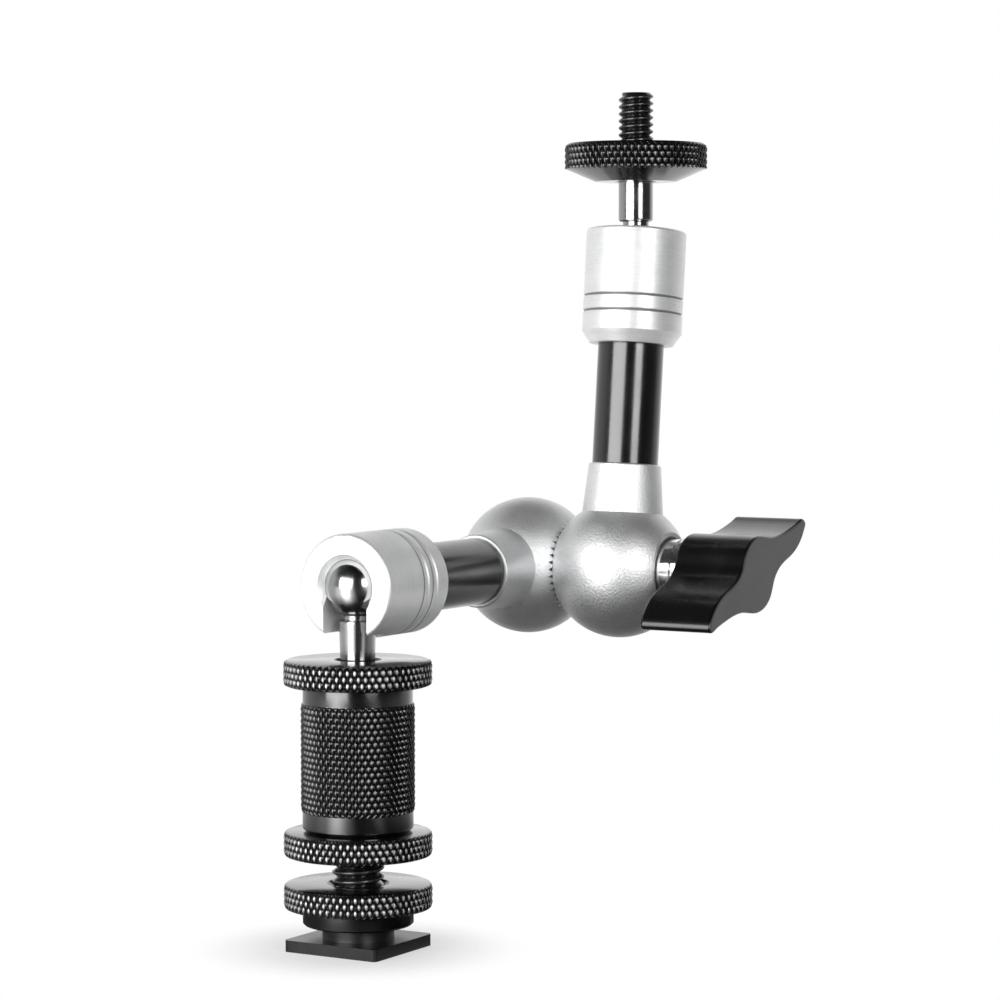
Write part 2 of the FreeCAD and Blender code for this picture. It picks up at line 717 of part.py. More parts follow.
def wing_knob():
    """The wing knob: an S-shaped bar with a thick hub, hollow behind for its threaded insert.

    Its free outline is one closed spline, which a sketch can't hold by constraints."""
    reach, hub = number("knob_reach"), number("knob_hub_radius")
    edge = [FreeCAD.Vector(along * reach, across * hub, 0) for along, across in KNOB_EDGE]
    outline = Part.BSplineCurve()
    outline.interpolate(Points=edge + [-point for point in edge], PeriodicFlag=True)
    bar = Part.Face(Part.Wire([outline.toShape()])).extrude(FreeCAD.Vector(0, 0, number("knob_length")))
    rims = [rim for rim in bar.Edges if abs(rim.tangentAt(rim.FirstParameter).z) < 0.5]
    bar = bar.makeFillet(number("knob_round"), rims)
    seat = Part.makeCylinder(number("insert_radius + seat_clearance"), number("insert_length"))
    bolt_hole = Part.makeCylinder(number("bolt_radius + clamp_play"), number("insert_length + bolt_end_room"))
    knob = doc.addObject("Part::Feature", "wing_knob")
    knob.Label = "wing_knob"
    knob.Shape = bar.cut([seat, bolt_hole])
    knob.setExpression("Placement", bound("%s * placement(vector(0; 0; knob_base); %s)" % (
        CLAMP_FRAME, "rotation(vector(0; 0; 1); knob_angle)")))
    sub_parts.append(knob)


def knob_insert():
    """The threaded bush in the knob."""
    body = new_body("knob_insert", shifted(CLAMP_FRAME, "knob_base"))
    turn(body, [(BOLT_BORE, "0"), ("insert_radius", "0"), ("insert_radius", "insert_length"), (BOLT_BORE, "insert_length")])


shoe_plate()
shoe_stud()
round_nut("shoe_clamp_nut", CLAMP_NUT_BASE, "clamp_hub_length", COLUMN_BORE, "disc_thickness")
round_nut("barrel_lock_nut", LOCK_NUT_BASE, "0", COLUMN_BORE, "disc_thickness")
adapter_barrel()
round_nut("stud_lock_disc", BARREL_TOP, "0", STUD_BORE, "stud_disc_thickness")
ball_stud("lower_ball_stud", "placement(vector(0; 0; %s); rotation(vector(1; 0; 0); 180))" % BALL_HEIGHT,
          "(ball_above_disc + stud_disc_thickness + lower_stud_grip)")
camera_ball_stud()
top_lock_disc()
for arm in ("lower", "upper"):
    socket(arm)
    socket_base(arm)
    ball_cup(arm)
    push_rod(arm)
    arm_tube(arm)
lower_elbow_half()
upper_elbow_half()
clamp_bolt()
cone("lower_cone", LOWER_SPHERE, -1)
cone("upper_cone", "0", 1)
elbow_spring()
thrust_collar()
wing_knob()
knob_insert()
doc.recompute()

for item in doc.Objects:
    if "Invalid" in item.State or "Error" in item.State:
        raise ValueError("%s did not recompute: %s" % (item.Label, item.State))
for body in sub_parts:
    if body.Shape.isNull() or not body.Shape.isValid() or len(body.Shape.Solids) != 1:
        raise ValueError(body.Label + " is not one valid solid")

os.makedirs("parts", exist_ok=True)
for body in sub_parts:
    body.Shape.exportStep(os.path.join("parts", body.Label + ".step"))
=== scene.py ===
"""Looks of the articulating friction arm: finishes, knurls, threads, floor, light and camera."""

import json
import math

import bpy
import numpy as np
from mathutils import Matrix, Vector

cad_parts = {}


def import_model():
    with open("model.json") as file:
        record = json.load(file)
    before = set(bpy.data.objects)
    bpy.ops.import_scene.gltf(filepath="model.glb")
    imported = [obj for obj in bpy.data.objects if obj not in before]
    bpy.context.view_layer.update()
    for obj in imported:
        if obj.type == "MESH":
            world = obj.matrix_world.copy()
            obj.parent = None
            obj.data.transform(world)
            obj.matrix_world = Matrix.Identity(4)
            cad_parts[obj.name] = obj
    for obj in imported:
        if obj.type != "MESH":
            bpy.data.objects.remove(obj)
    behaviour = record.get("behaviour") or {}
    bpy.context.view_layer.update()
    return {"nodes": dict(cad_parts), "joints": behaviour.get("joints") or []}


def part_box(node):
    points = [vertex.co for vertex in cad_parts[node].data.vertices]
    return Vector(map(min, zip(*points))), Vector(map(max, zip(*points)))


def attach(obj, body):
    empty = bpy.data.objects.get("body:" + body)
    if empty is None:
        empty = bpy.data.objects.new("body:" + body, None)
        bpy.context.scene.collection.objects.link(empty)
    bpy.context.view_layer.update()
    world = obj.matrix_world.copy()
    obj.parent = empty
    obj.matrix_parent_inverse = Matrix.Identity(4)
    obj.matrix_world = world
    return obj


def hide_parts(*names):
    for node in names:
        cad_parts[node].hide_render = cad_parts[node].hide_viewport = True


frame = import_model()
nodes = frame["nodes"]
joints = {joint["name"]: joint for joint in frame["joints"]}

MM = 0.001
TINY = 1e-7

# The attribute that tells how near to a crest a point lies, from 0 in a groove to 1, and its value
# on the smooth stretches of a knurled or threaded piece
CREST = "crest"
FLAT = -1

# Places and frames, each frame's Z axis along its part: the column, the arms from ball to elbow,
# the camera screw's stud, and the clamp bolt from the upper elbow half towards the knob
UP = Vector((0, 0, 1))
LOWER_BALL = Vector(joints["lower_ball_tilt"]["pos_m"])
UPPER_BALL = Vector(joints["upper_ball_tilt"]["pos_m"])
LOWER_SPHERE = Vector(joints["elbow"]["pos_m"])
UPPER_SPHERE = Vector((LOWER_SPHERE.x, UPPER_BALL.y, LOWER_SPHERE.z))


def frame_along(origin, direction):
    """A frame at a point with its Z axis along a direction."""
    return Matrix.Translation(origin) @ direction.to_track_quat("Z", "Y").to_matrix().to_4x4()


COLUMN = Matrix.Identity(4)
LOWER_ARM = frame_along(LOWER_BALL, LOWER_SPHERE - LOWER_BALL)
UPPER_ARM = frame_along(UPPER_BALL, UPPER_SPHERE - UPPER_BALL)
UPPER_STUD = frame_along(UPPER_BALL, UP)
CLAMP = frame_along(UPPER_SPHERE, Vector((0, -1, 0)))
LOWER_HALF = frame_along(LOWER_SPHERE, Vector((0, -1, 0)))


# Turned meshes


def rounded(corners, steps=4):
    """Turns corners (radius, height, rounding) into outline points, with an arc at each rounding."""
    points = []
    last = len(corners) - 1
    for place, corner in enumerate(corners):
        here = Vector(corner[:2])
        rounding = corner[2] if len(corner) > 2 else 0
        if not rounding or place in (0, last):
            points.append(tuple(here))
            continue
        inward = (here - Vector(corners[place - 1][:2])).normalized()
        outward = (Vector(corners[place + 1][:2]) - here).normalized()
        bend = inward.angle(outward)
        start = here - inward * rounding * math.tan(bend / 2)
        side = Vector((-inward.y, inward.x))
        if side.dot(outward) < 0:
            side.negate()
        centre = start + side * rounding
        for step in range(steps + 1):
            turned = bend * step / steps
            spot = centre + rounding * (inward * math.sin(turned) - side * math.cos(turned))
            points.append(tuple(spot))
    return points


def spin(name, outline, place, segments, relief=None):
    """A solid turned round the Z axis of a frame from an outline of (radius, height) points.

    relief takes the radius, the height and the angles, and returns the radius at each angle, which
    way the face above each angle is split, and how near to a crest it is."""
    angles = np.arange(segments) * 2 * math.pi / segments
    vertices = []
    crests = []
    rings = []
    splits = []
    for radius, height in outline:
        start = len(vertices)
        split = np.zeros(segments, bool)
        if radius < TINY:
            vertices.append((0, 0, height))
            crests.append(0)
            rings.append([start])
        else:
            reach = np.full(segments, radius)
            crest = np.zeros(segments)
            if relief:
                reach, split, crest = relief(radius, height, angles)
            crests.extend(crest)
            heights = np.full(segments, height)
            vertices.extend(zip(reach * np.cos(angles), reach * np.sin(angles), heights))
            rings.append(list(range(start, start + segments)))
        splits.append(split)
    faces = []
    closed = len(rings[0]) > 1 and len(rings[-1]) > 1
    pairs = list(zip(rings, rings[1:], splits))
    if closed:
        pairs.append((rings[-1], rings[0], splits[-1]))
    for low, high, split in pairs:
        for step in range(segments):
            after = (step + 1) % segments
            if len(low) == 1:
                faces.append((low[0], high[after], high[step]))
            elif len(high) == 1:
                faces.append((low[step], low[after], high[0]))
            elif relief and split[step]:
                faces.append((low[step], low[after], high[step]))
                faces.append((low[after], high[after], high[step]))
            elif relief:
                faces.append((low[step], low[after], high[after]))
                faces.append((low[step], high[after], high[step]))
            else:
                faces.append((low[step], low[after], high[after], high[step]))
    mesh = bpy.data.meshes.new(name)
    mesh.from_pydata(vertices, [], faces)
    mesh.transform(place)
    mesh.attributes.new(CREST, "FLOAT", "POINT").data.foreach_set("value", crests)
    piece = bpy.data.objects.new(name, mesh)
    bpy.context.scene.collection.objects.link(piece)
    return piece


def smooth(piece, angle=35):
    """Smooth shading, with hard edges where faces meet at more than an angle."""
    mesh = piece.data
    mesh.shade_smooth()
    mesh.set_sharp_from_angle(angle=math.radians(angle))
    mesh.validate()
    return piece


def plain(radius, angles):
    """No relief at a radius."""
    return np.full(len(angles), radius), np.zeros(len(angles), bool), np.full(len(angles), FLAT)


def ripple(turns):
    """A triangle wave of period 1: 1 at whole numbers and 0 half way between them."""
    return np.abs(2 * (turns - np.floor(turns)) - 1)


def dome(share):
    """The height of a domed tip between two grooves, from 0 in a groove to 1 at the top."""
    return 1 - (1 - share) ** 2


# Knurls: two crossing sets of grooves, each leaning 30 degrees from the axis, with a number of
# steps to a diamond and a gap, in steps, between the rows and the knurl's ends
KNURL_LEAN = math.tan(math.radians(30))
KNURL_STEPS = 10
KNURL_END_GAP = 0.3


def knurl(rim_radius, count, depth, middle):
    """The relief of a knurl with a count of diamonds round a rim, cut to a depth."""
    rise = 2 * math.pi * rim_radius / count / KNURL_LEAN

    def relief(radius, height, angles):
        along = (height - middle) / rise
        around = angles * count / (2 * math.pi)
        crest = dome(ripple(around + along)) * dome(ripple(around - along))
        split = ripple(around + along + 1 / KNURL_STEPS) < ripple(around - along)
        knurled = rim_radius - depth * (1 - crest)
        return np.minimum(radius, knurled), split, np.where(knurled <= radius + TINY, crest, FLAT)

    return relief


def knurl_rows(rim_radius, count, low, high):
    """The heights of a knurl's rows between two ends, a whole number of steps from its middle."""
    step = 2 * math.pi * rim_radius / count / KNURL_LEAN / KNURL_STEPS
    middle = (low + high) / 2
    reach = int((high - low) / 2 / step - KNURL_END_GAP)
    return [low] + [middle + step * place for place in range(-reach, reach + 1)] + [high]


# Threads: how steep the flanks are, which leaves flat crests, the share of the pitch in which a
# thread runs out at its ends, and the number of rows to a turn
THREAD_FLANK = 1.25
THREAD_RUN_OUT = 0.3
THREAD_ROWS_PER_TURN = 14


def thread(crest_radius, pitch, depth, low, high):
    """The relief of a thread between two heights, which runs out at both ends."""
    def relief(radius, height, angles):
        flank = np.clip(THREAD_FLANK * ripple(height / pitch - angles / (2 * math.pi)), 0, 1)
        from_end = min(height - low, high - height)
        fade = min(max(from_end / (THREAD_RUN_OUT * pitch), 0), 1)
        cut = depth * (1 - flank) * fade
        return np.minimum(radius, crest_radius - cut), np.zeros(len(angles), bool), flank * fade

    return relief


def thread_rows(pitch, low, high):
    """The heights of a thread's rows."""
    count = max(2, round((high - low) / pitch * THREAD_ROWS_PER_TURN))
    return [low + (high - low) * place / count for place in range(count + 1)]


# Materials: small helpers for node trees


def put(tree, socket, value):
    """Links a socket to another one, or sets its value."""
    if isinstance(value, bpy.types.NodeSocket):
        tree.links.new(value, socket)
    else:
        socket.default_value = value


def add(tree, kind, inputs=None, **settings):
    """A node with its settings and inputs."""
    made = tree.nodes.new(kind)
    for key, value in settings.items():
        setattr(made, key, value)
    for key, value in (inputs or {}).items():
        put(tree, made.inputs[key], value)
    return made


def maths(tree, operation, *values):
    """The output of a Math node."""
    return add(tree, "ShaderNodeMath", dict(enumerate(values)), operation=operation).outputs[0]


def product(tree, first, second):
    """Two colours or vectors multiplied."""
    made = add(tree, "ShaderNodeVectorMath", {0: first, 1: second}, operation="MULTIPLY")
    return made.outputs["Vector"]


def difference(tree, first, second):
    """One vector less another one."""
    made = add(tree, "ShaderNodeVectorMath", {0: first, 1: second}, operation="SUBTRACT")
    return made.outputs["Vector"]


def spread(tree, value, low, high, to_low=0, to_high=1):
    """Maps a range of a value smoothly to another range."""
    inputs = {"Value": value, "From Min": low, "From Max": high, "To Min": to_low, "To Max": to_high}
    return add(tree, "ShaderNodeMapRange", inputs, interpolation_type="SMOOTHSTEP").outputs["Result"]


# The Mix node's sockets for colours, which share their names with those for numbers
MIX_SHARE = 0
MIX_FIRST = 6
MIX_SECOND = 7
MIX_RESULT = 2


def mixed(tree, share, first, second):
    """A colour between two colours."""
    inputs = {MIX_SHARE: share, MIX_FIRST: first, MIX_SECOND: second}
    return add(tree, "ShaderNodeMix", inputs, data_type="RGBA").outputs[MIX_RESULT]


def mixed_shader(tree, share, first, second):
    """A shader between two shaders, each of them a node."""
    inputs = {0: share, 1: first.outputs[0], 2: second.outputs[0]}
    return add(tree, "ShaderNodeMixShader", inputs)


def noise(tree, place, scale, detail):
    """A noise at a place."""
    inputs = {"Vector": place, "Scale": scale, "Detail": detail}
    return add(tree, "ShaderNodeTexNoise", inputs).outputs["Fac"]


def noise_along(tree, distance, scale, detail):
    """A noise along a distance."""
    inputs = {"W": distance, "Scale": scale, "Detail": detail}
    return add(tree, "ShaderNodeTexNoise", inputs, noise_dimensions="1D").outputs["Fac"]


def grey(level, warmth=0):
    """A grey colour, a little warmer or cooler."""
    return (level * (1 + warmth), level, level * (1 - warmth), 1)


def new_group(name, inputs, outputs):
    """A shader node group with named inputs and outputs, its tree and its end nodes."""
    tree = bpy.data.node_groups.new(name, "ShaderNodeTree")
    for label, kind, value in inputs:
        socket = tree.interface.new_socket(name=label, in_out="INPUT", socket_type="NodeSocket" + kind)
        if value is not None:
            socket.default_value = value
    for label, kind in outputs:
        tree.interface.new_socket(name=label, in_out="OUTPUT", socket_type="NodeSocket" + kind)
    return tree, tree.nodes.new("NodeGroupInput"), tree.nodes.new("NodeGroupOutput")


# Turning rings: the scale of the broad rings among the fine ones, and of the patches that they fade in
BROAD_RINGS = 0.13
RING_PATCHES = 220


def turned_rings_group():
    """Fine rings left by a turning tool, round the Z axis of the place that it is given."""
    tree, given, result = new_group(
        "turned_rings",
        [("Place", "Vector", None), ("Pitch", "Float", 0.0003), ("Unevenness", "Float", 0.3)],
        [("Height", "Float"), ("Shade", "Float")],
    )
    place = given.outputs["Place"]
    split = add(tree, "ShaderNodeSeparateXYZ", {"Vector": place})
    x_squared = maths(tree, "MULTIPLY", split.outputs["X"], split.outputs["X"])
    y_squared = maths(tree, "MULTIPLY", split.outputs["Y"], split.outputs["Y"])
    radius = maths(tree, "SQRT", maths(tree, "ADD", x_squared, y_squared))
    outward = maths(tree, "ADD", radius, split.outputs["Z"])
    turns = maths(tree, "DIVIDE", outward, given.outputs["Pitch"])
    fine = noise_along(tree, turns, 1, 2)
    broad = noise_along(tree, turns, BROAD_RINGS, 1)
    uneven = maths(tree, "MULTIPLY", noise(tree, place, RING_PATCHES, 1), given.outputs["Unevenness"])
    strength = maths(tree, "SUBTRACT", 1, uneven)
    put(tree, result.inputs["Height"], maths(tree, "MULTIPLY", fine, strength))
    rings = maths(tree, "MULTIPLY", maths(tree, "ADD", fine, broad), 0.5)
    put(tree, result.inputs["Shade"], maths(tree, "MULTIPLY", rings, strength))
    return tree


# Bead blasting: the noise levels where a pit starts and where it is deepest
PIT_START = 0.42
PIT_FULL = 0.22
GRAIN_DETAIL = 2.5


def blasted_grain_group():
    """The fine grain of bead blasting: a bump height and a mask of small darker pits."""
    tree, given, result = new_group(
        "blasted_grain",
        [("Place", "Vector", None), ("Grain", "Float", 0.00025), ("Pitting", "Float", 0.5)],
        [("Height", "Float"), ("Pits", "Float")],
    )
    scale = maths(tree, "DIVIDE", 1, given.outputs["Grain"])
    grains = noise(tree, given.outputs["Place"], scale, GRAIN_DETAIL)
    put(tree, result.inputs["Height"], grains)
    pits = spread(tree, grains, PIT_START, PIT_FULL)
    put(tree, result.inputs["Pits"], maths(tree, "MULTIPLY", pits, given.outputs["Pitting"]))
    return tree


# Traces of use: the noise levels where smudges start and are full, and where scratches may lie, and
# the scratches' stretch, scale and width
SMUDGE_START = 0.35
SMUDGE_FULL = 0.7
SCRATCHED_START = 0.55
SCRATCHED_FULL = 0.65
SCRATCH_STRETCH = (1, 0.12, 0.4)
SCRATCH_SCALE = 1500
SCRATCH_WIDTH = 0.006


def handling_group():
    """Traces of use: soft smudges and a few fine scratches."""
    tree, given, result = new_group(
        "handling",
        [("Place", "Vector", None), ("Smudge Size", "Float", 0.008), ("Scratches", "Float", 0.4)],
        [("Smudge", "Float"), ("Scratch", "Float")],
    )
    place = given.outputs["Place"]
    cloud = noise(tree, place, maths(tree, "DIVIDE", 1, given.outputs["Smudge Size"]), 3)
    put(tree, result.inputs["Smudge"], spread(tree, cloud, SMUDGE_START, SMUDGE_FULL))
    streaks = noise(tree, product(tree, place, SCRATCH_STRETCH), SCRATCH_SCALE, 1)
    off_middle = maths(tree, "ABSOLUTE", maths(tree, "SUBTRACT", streaks, 0.5))
    thin = spread(tree, off_middle, SCRATCH_WIDTH, 0)
    rare = spread(tree, cloud, SCRATCHED_START, SCRATCHED_FULL)
    marks = maths(tree, "MULTIPLY", maths(tree, "MULTIPLY", thin, rare), given.outputs["Scratches"])
    put(tree, result.inputs["Scratch"], marks)
    return tree


# Edge wear: the scale of the noise that breaks it up, the noise levels where wear starts and is
# full, and the share of it that stays everywhere
WEAR_PATCHES = 900
WEAR_PATCH_START = 0.3
WEAR_PATCH_FULL = 0.6
WEAR_LEAST = 0.35


def edge_wear_group():
    """Wear along edges and crests: a mask from how far a spot stands out, broken up by a noise."""
    tree, given, result = new_group(
        "edge_wear",
        [("Place", "Vector", None), ("Edge", "Float", 0.5), ("Start", "Float", 0.5),
         ("Full", "Float", 0.6), ("Amount", "Float", 0.5)],
        [("Mask", "Float")],
    )
    edge = add(tree, "ShaderNodeMapRange", {
        "Value": given.outputs["Edge"],
        "From Min": given.outputs["Start"],
        "From Max": given.outputs["Full"],
    })
    patches = noise(tree, given.outputs["Place"], WEAR_PATCHES, 3)
    broken = spread(tree, patches, WEAR_PATCH_START, WEAR_PATCH_FULL, WEAR_LEAST, 1)
    share = maths(tree, "MULTIPLY", edge.outputs["Result"], broken)
    put(tree, result.inputs["Mask"], maths(tree, "MULTIPLY", share, given.outputs["Amount"]))
    return tree


TURNED_RINGS = turned_rings_group()
BLASTED_GRAIN = blasted_grain_group()
HANDLING = handling_group()
EDGE_WEAR = edge_wear_group()


def add_group(tree, group, inputs):
    """The outputs of a placed group with its inputs."""
    return add(tree, "ShaderNodeGroup", inputs, node_tree=group).outputs


def new_material(name, place):
    """A material, its tree, its Principled shader and the position in a part's own frame."""
    material = bpy.data.materials.new(name)
    material.use_nodes = True
    tree = material.node_tree
    shader = tree.nodes["Principled BSDF"]
    inverse = place.inverted()
    position = add(tree, "ShaderNodeTexCoord").outputs["Object"]
    inputs = {"Vector": position, "Location": inverse.translation, "Rotation": inverse.to_euler()}
    local = add(tree, "ShaderNodeMapping", inputs).outputs["Vector"]
    return material, tree, shader, local


def bump(tree, shader, height, distance, strength):
    """Feeds a height to the shader's normal through a Bump node."""
    made = add(tree, "ShaderNodeBump", {"Height": height, "Strength": strength, "Distance": distance})
    put(tree, shader.inputs["Normal"], made.outputs["Normal"])


QUARTER_TURN = 0.25


def turned_sheen(tree, shader, place, strength):
    """Stretches the shader's highlights across the turning rings, as a turned surface does."""
    position = add(tree, "ShaderNodeTexCoord").outputs["Object"]
    inputs = {0: place.col[2].to_3d(), 1: difference(tree, position, place.translation)}
    around = add(tree, "ShaderNodeVectorMath", inputs, operation="CROSS_PRODUCT")
    turned = add(tree, "ShaderNodeVectorTransform", {"Vector": around.outputs["Vector"]},
                 vector_type="VECTOR", convert_from="OBJECT", convert_to="WORLD")
    put(tree, shader.inputs["Tangent"], turned.outputs["Vector"])
    shader.inputs["Anisotropic"].default_value = strength
    shader.inputs["Anisotropic Rotation"].default_value = QUARTER_TURN


def roughened(tree, mask, roughness, more):
    """A roughness that a mask raises."""
    return spread(tree, mask, 0, 1, roughness, roughness + more)


def height_of(tree, local):
    """The height of a spot in its part's own frame."""
    return add(tree, "ShaderNodeSeparateXYZ", {"Vector": local}).outputs["Z"]


# The silver's tones, from clean over turned and pitted metal to the painted shade in a seam, the ring
# shades where the turned tone starts and is full, and the reach of a seam's painted shade and of its
# darkest part
CLEAN_SILVER = grey(0.83, -0.006)
TURNED_SILVER = grey(0.66, -0.008)
PITTED_SILVER = grey(0.55, -0.008)
SEAM_SHADE = grey(0.3, 0.01)
RING_TONE_START = 0.25
RING_TONE_FULL = 0.6
SEAM_REACH = 0.3 * MM
SEAM_CORE = 0.09 * MM


def satin_silver(name, place, rings, roughness, sheen, metal, seams=()):
    """Bead-blasted or turned satin aluminium.

    rings is the share of turning rings in its relief, metal how metallic it is, and seams are the
    heights of seam grooves, which are painted darker there as shade."""
    material, tree, shader, local = new_material(name, place)
    turned = add_group(tree, TURNED_RINGS, {"Place": local, "Pitch": 0.35 * MM, "Unevenness": 0.5})
    blasted = add_group(tree, BLASTED_GRAIN, {"Place": local, "Grain": 0.4 * MM, "Pitting": 0.6})
    used = add_group(tree, HANDLING, {"Place": local, "Smudge Size": 9 * MM, "Scratches": 0.25})
    pitted = mixed(tree, blasted["Pits"], CLEAN_SILVER, PITTED_SILVER)
    tone = spread(tree, turned["Shade"], RING_TONE_START, RING_TONE_FULL, to_high=0.5 * rings)
    colour = mixed(tree, tone, pitted, TURNED_SILVER)
    height = height_of(tree, local)
    # Painted shade: the silver is painted darker along each seam groove
    for seam in seams:
        distance = maths(tree, "ABSOLUTE", maths(tree, "SUBTRACT", height, seam))
        seam_shade = spread(tree, distance, SEAM_REACH, SEAM_CORE)
        colour = mixed(tree, seam_shade, colour, SEAM_SHADE)
    put(tree, shader.inputs["Base Color"], colour)
    shader.inputs["Metallic"].default_value = metal
    put(tree, shader.inputs["Roughness"], roughened(tree, used["Smudge"], roughness, more=0.06))
    turned_sheen(tree, shader, place, sheen)
    ring_relief = maths(tree, "MULTIPLY", turned["Height"], rings)
    grain_relief = maths(tree, "MULTIPLY", blasted["Height"], 1 - rings)
    relief = maths(tree, "ADD", ring_relief, grain_relief)
    bump(tree, shader, relief, distance=0.1 * MM, strength=0.8)
    return material


# How bright polished metal is in smudges and scratches, as a share of its clean brightness
SMUDGED_SHARE = 0.9
SCRATCHED_SHARE = 0.7


def polished_metal(name, place, level, roughness, rings):
    """Polished metal with smudges and faint turning rings, whose relief rings gives."""
    material, tree, shader, local = new_material(name, place)
    turned = add_group(tree, TURNED_RINGS, {"Place": local, "Pitch": 0.22 * MM, "Unevenness": 0.4})
    used = add_group(tree, HANDLING, {"Place": local, "Smudge Size": 4 * MM, "Scratches": 0.5})
    tone = mixed(tree, used["Smudge"], grey(level, -0.008), grey(level * SMUDGED_SHARE, 0.004))
    scratched = mixed(tree, used["Scratch"], tone, grey(level * SCRATCHED_SHARE))
    put(tree, shader.inputs["Base Color"], scratched)
    shader.inputs["Metallic"].default_value = 1
    put(tree, shader.inputs["Roughness"], roughened(tree, used["Smudge"], roughness, more=0.09))
    turned_sheen(tree, shader, place, strength=0.5)
    bump(tree, shader, turned["Height"], distance=0.01 * MM, strength=rings)
    return material


# How much brighter the black is in smudges and scratches; how near to a crest a groove's dull floor
# ends and the full gloss starts; and what bare metal and a dull end face add to the roughness
BLACK_SMUDGED = 1.4
BLACK_SCRATCHED = 3
GROOVE_FLOOR = 0.1
GROOVE_EDGE = 0.8
BARE_ROUGHNESS = 0.25
DULL_FACE = grey(0.07)
DULL_FACE_EDGE = 0.2 * MM
DULL_FACE_ROUGHNESS = 0.2


def black_anodised(name, place, level, roughness, gloss, sheen, wear, face=None, groove=None,
                   worn_from=0.9, bare=0.42):
    """Black anodised aluminium: rings of the turning under it, and bare metal showing at worn crests.

    face is the height of an end face that is duller than the rest, and groove the share of the gloss
    that is left in a knurl's grooves, whose worn crests are then metallic. worn_from is how near to a
    crest the wear starts, and bare the brightness of the bare metal."""
    material, tree, shader, local = new_material(name, place)
    turned = add_group(tree, TURNED_RINGS, {"Place": local, "Pitch": 0.3 * MM, "Unevenness": 0.4})
    used = add_group(tree, HANDLING, {"Place": local, "Smudge Size": 7 * MM, "Scratches": 0.4})
    crest = add(tree, "ShaderNodeAttribute", attribute_name=CREST).outputs["Fac"]
    wearing = {"Place": local, "Edge": crest, "Start": worn_from, "Full": 1, "Amount": wear}
    worn = add_group(tree, EDGE_WEAR, wearing)["Mask"]
    tone = mixed(tree, used["Smudge"], grey(level, -0.02), grey(level * BLACK_SMUDGED, -0.01))
    scratched = mixed(tree, used["Scratch"], tone, grey(level * BLACK_SCRATCHED))
    colour = mixed(tree, worn, scratched, grey(bare, -0.01))
    rough = roughened(tree, used["Smudge"], roughness, more=0.04)
    shader.inputs["Specular IOR Level"].default_value = gloss
    if face:
        at_face = spread(tree, height_of(tree, local), face - DULL_FACE_EDGE, face)
        colour = mixed(tree, at_face, colour, DULL_FACE)
        rough = maths(tree, "MULTIPLY_ADD", at_face, DULL_FACE_ROUGHNESS, rough)
    if groove:
        out_of_groove = maths(tree, "ABSOLUTE", crest)
        shine = spread(tree, out_of_groove, GROOVE_FLOOR, GROOVE_EDGE, groove * gloss, gloss)
        put(tree, shader.inputs["Specular IOR Level"], shine)
        put(tree, shader.inputs["Metallic"], worn)
        rough = maths(tree, "MULTIPLY_ADD", worn, BARE_ROUGHNESS, rough)
    put(tree, shader.inputs["Base Color"], colour)
    put(tree, shader.inputs["Roughness"], rough)
    turned_sheen(tree, shader, place, sheen)
    bump(tree, shader, turned["Height"], distance=0.006 * MM, strength=0.3)
    return material


SMUDGED_STEEL = 0.75


def plain_metal(name, place, colour, roughness):
    """Machined metal of the inner parts."""
    material, tree, shader, local = new_material(name, place)
    turned = add_group(tree, TURNED_RINGS, {"Place": local, "Pitch": 0.3 * MM, "Unevenness": 0.5})
    used = add_group(tree, HANDLING, {"Place": local, "Smudge Size": 5 * MM, "Scratches": 0.4})
    smudged = tuple(part * SMUDGED_STEEL for part in colour[:3]) + (1,)
    put(tree, shader.inputs["Base Color"], mixed(tree, used["Smudge"], colour, smudged))
    shader.inputs["Metallic"].default_value = 1
    put(tree, shader.inputs["Roughness"], roughened(tree, turned["Shade"], roughness, more=0.15))
    bump(tree, shader, turned["Height"], distance=0.015 * MM, strength=0.6)
    return material


# The height of the knob's end face along the clamp, and of the seams beside a socket's base ring
# along its arm
KNOB_END = UPPER_SPHERE.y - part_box("wing_knob")[0].y
BASE_RING = 2.8 * MM
SOCKET_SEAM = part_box("lower_socket")[1].x - LOWER_BALL.x
SEAMS = (SOCKET_SEAM, SOCKET_SEAM + BASE_RING)
BRONZE = (0.72, 0.55, 0.28, 1)
STEEL = (0.55, 0.55, 0.57, 1)

# What the finishes of each kind of part are made with
BLASTED = {"rings": 0.15, "roughness": 0.51, "sheen": 0, "metal": 1}
TURNED = {"rings": 0.8, "roughness": 0.45, "sheen": 0.3, "metal": 0.62, "seams": SEAMS}
COLLAR = {"level": 0.86, "roughness": 0.1, "rings": 0.3}
STUD = {"level": 0.4, "roughness": 0.15, "rings": 0.15}
TUBE = {"level": 0.002, "roughness": 0.2, "gloss": 0.9, "sheen": 0.4, "wear": 0}
KNURL = {"level": 0.002, "roughness": 0.16, "gloss": 1, "sheen": 0.4}
DISC_KNURL = {**KNURL, "wear": 1, "groove": 0.3, "worn_from": 0.6, "bare": 0.8}
TOP_KNURL = {**KNURL, "wear": 0.15, "groove": 0.2}
BARREL_KNURL = {**KNURL, "wear": 0.25, "groove": 0.3}
KNOB = {"level": 0.002, "roughness": 0.24, "gloss": 0.6, "sheen": 0, "wear": 0, "face": KNOB_END}
FOOT = {"level": 0.008, "roughness": 0.32, "gloss": 0.6, "sheen": 0, "wear": 0}
THREAD = {"level": 0.005, "roughness": 0.22, "gloss": 0.8, "sheen": 0.3, "wear": 0.08}

